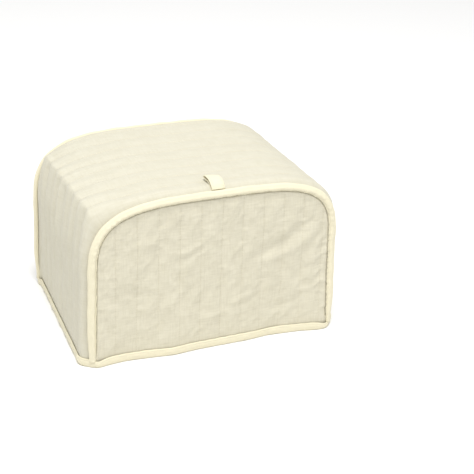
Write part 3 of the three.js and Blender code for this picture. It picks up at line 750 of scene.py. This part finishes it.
def hem_tape(material):
    """A tape carried round the hem's path. Across, its middle line goes down the outer face, round two small
    quarter circles under the cloth's edge and up the inner face. Each wall takes 0.42 of the points, each
    bend 0.06 and the flat between them 0.04."""
    x, y, room, run, dip = hem_path()
    out_x = np.roll(y, -1) - np.roll(y, 1)
    out_y = np.roll(x, 1) - np.roll(x, -1)
    size = np.hypot(out_x, out_y)
    out_x = (out_x / size)[:, None]
    out_y = (out_y / size)[:, None]
    room, place, sunk = room[:, None], run[:, None], CORNER_DIP * dip[:, None]
    steps = 40
    share = np.linspace(0, 1, steps)
    bend = 1.3
    wall = HEM_SLOT + HEM_WALL - HEM_TAPE / 2
    low = HEM_TAPE / 2
    top = HEM_HEIGHT + 0.1 + 0.25 * waver(place, 40, 61) + 0.12 * waver(place, 9, 62) - sunk
    down = np.clip(share / WALL_SHARE, 0, 1)
    first_bend = np.pi / 2 * np.clip((share - WALL_SHARE) / 0.06, 0, 1)
    under = np.clip((share - 0.48) / 0.04, 0, 1)
    second_bend = np.pi / 2 * np.clip((share - 0.52) / 0.06, 0, 1)
    rise = np.clip((share - 0.58) / WALL_SHARE, 0, 1)
    z = mix(top, low + bend, down) - bend * np.sin(first_bend) + bend * (1 - np.cos(second_bend))
    z = z + (HEM_HEIGHT - 0.2 - low - bend - sunk) * rise
    out = wall + room - bend * (1 - np.cos(first_bend)) - (2 * wall + room - 2 * bend) * under
    out = out - bend * np.sin(second_bend)
    belly = 0.8 * np.sin(np.pi * down) * (1 + 0.5 * waver(place, 26, 63)) * (share < WALL_SHARE)
    pressed = -0.35 * bell(down / 0.16) * (share < WALL_SHARE)
    pressed = pressed + 0.1 * waver(place, 6, 64) * bell((down - 0.5) / 0.3)
    out = out + belly + pressed
    middle = np.stack([x[:, None] + out_x * out, y[:, None] + out_y * out, z + 0 * out], axis=-1)
    closed = np.vstack([middle[-1:], middle, middle[:1]])
    direction = face_directions(closed, -1)[1:-1]
    half = (tape_thickness(share, HEM_TAPE, 0.3) + 0 * place)[..., None]
    numbers = np.arange(len(x) * steps).reshape(len(x), steps)
    width = HEM_TAPE_WIDTH * share + 0 * place
    cloth = np.stack([place + 0 * width, width], axis=-1).reshape(-1, 2) * MM
    outer = (middle + direction * half).reshape(-1, 3)
    inner = (middle - direction * half).reshape(-1, 3)
    quads = quads_of(np.vstack([numbers, numbers[:1]]))
    piece = cloth_piece("hem_tape", outer, inner, quads, cloth, material)
    return piece, outer.reshape(middle.shape), direction


hem, hem_face, hem_out = hem_tape(tape_cotton)
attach(hem, "root")
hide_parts("hem_binding")

# Strap: a short length of doubled tape, stitched down both edges, bent back on itself into a flat loop. Both
# its ends are caught in the front seam under the binding, and it lies back over the top of the band.

STRAP_X = 2.3
STRAP_WIDTH = 15.0
STRAP_THICKNESS = 1.4
STRAP_LINE = np.array([(4.4, 8), (8, 12.6), (13, 15.3), (19, 16), (25, 15.4), (27.4, 13.8), (25, 12.4),
                       (19.5, 12), (13.5, 11.5), (8, 8.1), (4.4, 6)], float)
STRAP_POINTS = 90
STRAP_COLUMNS = 22


def curve_through(points, count):
    """Evenly spaced points on a smooth curve through the given ones: a cubic between each two, with the slope
    at a point taken from its neighbours on both sides."""
    knots = np.concatenate([[0], np.cumsum(np.linalg.norm(np.diff(points, axis=0), axis=1))])
    slopes = np.gradient(points, knots, axis=0)
    dense = np.linspace(0, knots[-1], 600)
    part = np.clip(np.searchsorted(knots, dense, side="right") - 1, 0, len(points) - 2)
    span = (knots[part + 1] - knots[part])[:, None]
    t = (dense - knots[part])[:, None] / span
    line = points[part] * (2 * t**3 - 3 * t**2 + 1) + points[part + 1] * (3 * t**2 - 2 * t**3)
    line = line + slopes[part] * span * (t**3 - 2 * t**2 + t) + slopes[part + 1] * span * (t**3 - t**2)
    run = np.concatenate([[0], np.cumsum(np.linalg.norm(np.diff(line, axis=0), axis=1))])
    even = np.linspace(0, run[-1], count)
    return np.stack([np.interp(even, run, line[:, k]) for k in range(2)], axis=1), even


def strap(material):
    """The strap's cloth: the curve in the y, z plane carried across its width. Its edges curl in as a fourth
    power, and its far end lies a little askew."""
    line, run = curve_through(STRAP_LINE, STRAP_POINTS)
    across = np.linspace(0, 1, STRAP_COLUMNS)
    curl = 0.35 * (2 * across - 1) ** 4
    along = np.gradient(line, axis=0)
    along = along / np.linalg.norm(along, axis=1, keepdims=True)
    normal = np.stack([-along[:, 1], along[:, 0]], axis=1)
    width = STRAP_WIDTH + 0.3 * np.sin(2 * np.pi * run / 21)
    x = STRAP_X + (across - 0.5) * width[:, None]
    askew = 0.3 * (across - 0.5) * width[:, None] * ease((line[:, :1] - 6) / 16)
    y = line[:, :1] - normal[:, :1] * curl - askew
    z = SEAM_TOP + line[:, 1:] - normal[:, 1:] * curl
    middle = np.stack([x, y, z], axis=-1)
    direction = face_directions(middle, -1)
    half = (tape_thickness(across, STRAP_THICKNESS, 0.15) + 0 * run[:, None])[..., None]
    numbers = np.arange(STRAP_POINTS * STRAP_COLUMNS).reshape(STRAP_POINTS, STRAP_COLUMNS)
    cloth = np.stack([run[:, None] + 0 * x, across * STRAP_WIDTH + 0 * x], axis=-1).reshape(-1, 2) * MM
    outer = (middle + direction * half).reshape(-1, 3)
    inner = (middle - direction * half).reshape(-1, 3)
    piece = cloth_piece("strap_tape", outer, inner, quads_of(numbers), cloth, material)
    return piece, outer.reshape(middle.shape), direction


loop, strap_face, strap_out = strap(tape_cotton)
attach(loop, "root")
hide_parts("loop")

# Quilting thread of the two panels: cotton thread in the cloth's darker tone, which is painted shade for the
# grooves along the sewn lines, machine sewn through both cloths and the wadding in upright lines. Each stitch
# is a short bar of thread that dips into the cloth at both its ends.

STITCH_PITCH = 3.0
STITCH_SHARE = 0.75
THREAD = 0.36
PANEL_LINES = 11


def stitches_along(line, out, pitch):
    """Even places on a line of points: the middle of each stitch, the way it runs and the way out of the
    cloth."""
    run = np.concatenate([[0], np.cumsum(np.linalg.norm(np.diff(line, axis=0), axis=1))])
    count = int(run[-1] / pitch)
    place = (np.arange(count) + 0.5) * run[-1] / count
    wanted = ((place, line), (place + pitch / 2, line), (place - pitch / 2, line), (place, out))
    middle, ahead, behind, up = (
        np.stack([np.interp(where, run, rows[:, k]) for k in range(3)], axis=1) for where, rows in wanted)
    along = ahead - behind
    along = along / np.linalg.norm(along, axis=1, keepdims=True)
    up = up - along * (up * along).sum(axis=1, keepdims=True)
    return middle, along, up / np.linalg.norm(up, axis=1, keepdims=True)


def sewing(name, rows, pitch, material):
    """Stitches as one joined mesh: each is a bar of four rings of four corners, narrower and lower at its
    ends."""
    middle, along, up = (np.concatenate([row[k] for row in rows])[:, None, None] for k in range(3))
    side = np.cross(up, along)
    ring = np.array([-0.5, -0.3, 0.3, 0.5])[:, None, None] * pitch * STITCH_SHARE
    full = np.array([0.45, 1, 1, 0.45])[:, None, None] * THREAD
    left_right = np.array([-0.5, 0.5, 0.5, -0.5])[:, None]
    low_high = np.array([-0.6, -0.6, 0.7, 0.7])[:, None]
    points = middle + along * ring + side * full * left_right + up * full * low_high
    corner = np.arange(4)
    following = (corner + 1) % 4
    sides = np.stack([corner, following, 4 + following, 4 + corner], axis=1)
    ends = [(3, 2, 1, 0), (12, 13, 14, 15)]
    one = np.vstack([sides, sides + 4, sides + 8, ends])
    quads = (np.arange(len(middle))[:, None, None] * 16 + one).reshape(-1, 4)
    flat = points.reshape(-1, 3)
    return sewn_mesh(name, flat, quads, flat[:, [0, 2]] * MM, material)


def panel_lines(at_front, folds, seed):
    """The rows of stitches on a panel: on each quilting line, on the face of the cloth, from the hem to the
    seam."""
    rows = []
    points = 90
    for line_x in LINE_ON_PANEL + QUILT_PITCH * np.arange(PANEL_LINES):
        top = np.interp(line_x, SEAM[0], SEAM[1]) - 3
        z = np.linspace(HEM_HEIGHT + 1, top, points)
        x = np.full(points, line_x)
        depth, half = panel_cloth(x, z, folds, seed)
        y = front_face(x, z) + depth - half if at_front else DEPTH - depth + half
        out = np.zeros((points, 3)) + (0, -1 if at_front else 1, 0)
        rows.append(stitches_along(np.stack([x, y, z], axis=1), out, STITCH_PITCH))
    return rows


# The panel thread takes the cloth's darker tone as painted shade for the grooves along the sewn lines.
quilting_cotton_painted_shade = cotton("quilting_cotton_painted_shade", (0.60, 0.56, 0.43), (0.55, 0.51, 0.39), 0.0003, 0.3, 0.3)
panel_rows = panel_lines(True, FRONT_FOLDS, FRONT_SEED) + panel_lines(False, BACK_FOLDS, BACK_SEED)
panel_thread = sewing("panel_quilting_thread", panel_rows, STITCH_PITCH, quilting_cotton_painted_shade)
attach(panel_thread, "root")

# Quilting thread of the band: a paler cotton thread, machine sewn through both cloths and the wadding in
# eight lines from hem to hem over the top.

first_line = len(EDGE_SHARES) + len(FRONT_DEPTHS)
line_columns = first_line + COLUMNS_A_CHANNEL * np.arange(CHANNELS + 1)
band_rows = [stitches_along(band_outer[:, column], outwards[:, column], STITCH_PITCH)
             for column in line_columns]
thread_cotton = cotton("thread_cotton", (0.76, 0.71, 0.56), (0.70, 0.65, 0.50), 0.0003, 0.3, 0.3)
band_thread = sewing("band_quilting_thread", band_rows, STITCH_PITCH, thread_cotton)
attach(band_thread, "root")

# Thread of the bindings: a row of shorter stitches through each tape, along the pressed edge of its front
# leg, and one round the hem under its upper edge. All are machine sewn in the band's pale thread.

TAPE_PITCH = 2.6
stitched_column = round(STITCHED_AT * FRONT_LEG * (BINDING_STEPS - 1))
tape_rows = [stitches_along(face[:, stitched_column], out[:, stitched_column], TAPE_PITCH)
             for face, out in ((front_tape_face, front_tape_out), (back_tape_face, back_tape_out))]
hem_line, hem_line_out = hem_face[:, HEM_STITCHED_COLUMN], hem_out[:, HEM_STITCHED_COLUMN]
tape_rows.append(stitches_along(hem_line, hem_line_out, TAPE_PITCH))
tape_thread = sewing("binding_thread", tape_rows, TAPE_PITCH, thread_cotton)
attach(tape_thread, "root")

# Thread of the strap: a row of the same pale thread down each edge, machine sewn, which holds the folded tape
# closed.

FROM_STRAP_EDGE = 3
strap_columns = (FROM_STRAP_EDGE, STRAP_COLUMNS - 1 - FROM_STRAP_EDGE)
strap_rows = [stitches_along(strap_face[:, column], strap_out[:, column], TAPE_PITCH)
              for column in strap_columns]
strap_thread = sewing("strap_thread", strap_rows, TAPE_PITCH, thread_cotton)
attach(strap_thread, "root")

# Floor, light and camera: a plain white floor, a pale room, one broad soft light above, a little in front and
# to the left, and a long lens from the height and side that the picture was taken from.

floor_size = 14.0
floor_mesh = bpy.data.meshes.new("floor")
corners = np.array([(-1, -1), (1, -1), (1, 1), (-1, 1)]) * floor_size / 2
floor_mesh.from_pydata([(float(a), float(b), -0.0002) for a, b in corners], [], [(0, 1, 2, 3)])
floor_white = bpy.data.materials.new("floor_white")
floor_white.use_nodes = True
floor_white.node_tree.nodes["Principled BSDF"].inputs["Base Color"].default_value = (0.95, 0.95, 0.95, 1)
floor_white.node_tree.nodes["Principled BSDF"].inputs["Roughness"].default_value = 0.9
floor_mesh.materials.append(floor_white)
floor = bpy.data.objects.new("floor", floor_mesh)
bpy.context.scene.collection.objects.link(floor)

world = bpy.data.worlds.new("pale_room")
world.use_nodes = True
world.node_tree.nodes["Background"].inputs["Color"].default_value = (1.0, 0.995, 0.98, 1)
world.node_tree.nodes["Background"].inputs["Strength"].default_value = 0.66
bpy.context.scene.world = world


def soft_light(name, place, aim, size, power):
    """A square area light at a place, turned towards the point that it is aimed at."""
    light = bpy.data.lights.new(name, "AREA")
    light.shape = "SQUARE"
    light.size = size
    light.energy = power
    lamp = bpy.data.objects.new(name, light)
    lamp.location = place
    lamp.rotation_euler = (Vector(aim) - Vector(place)).to_track_quat("-Z", "Y").to_euler()
    bpy.context.scene.collection.objects.link(lamp)


soft_light("key_light", (-0.27, -0.87, 2.71), (0, 0, 0.08), 1.1, 64)

lens = bpy.data.cameras.new("camera")
lens.sensor_width = 36
lens.lens = 98.16
camera = bpy.data.objects.new("camera", lens)
yaw, pitch, roll = np.radians([24.37, 25.36, 2.27])
turn = Matrix.Rotation(-yaw, 4, "Z") @ Matrix.Rotation(np.pi / 2 - pitch, 4, "X")
turn = turn @ Matrix.Rotation(roll, 4, "Z")
camera.matrix_world = Matrix.Translation((-0.4866, -1.2289, 0.7146)) @ turn
bpy.context.scene.collection.objects.link(camera)
bpy.context.scene.camera = camera
bpy.context.scene.view_settings.view_transform = "Standard"
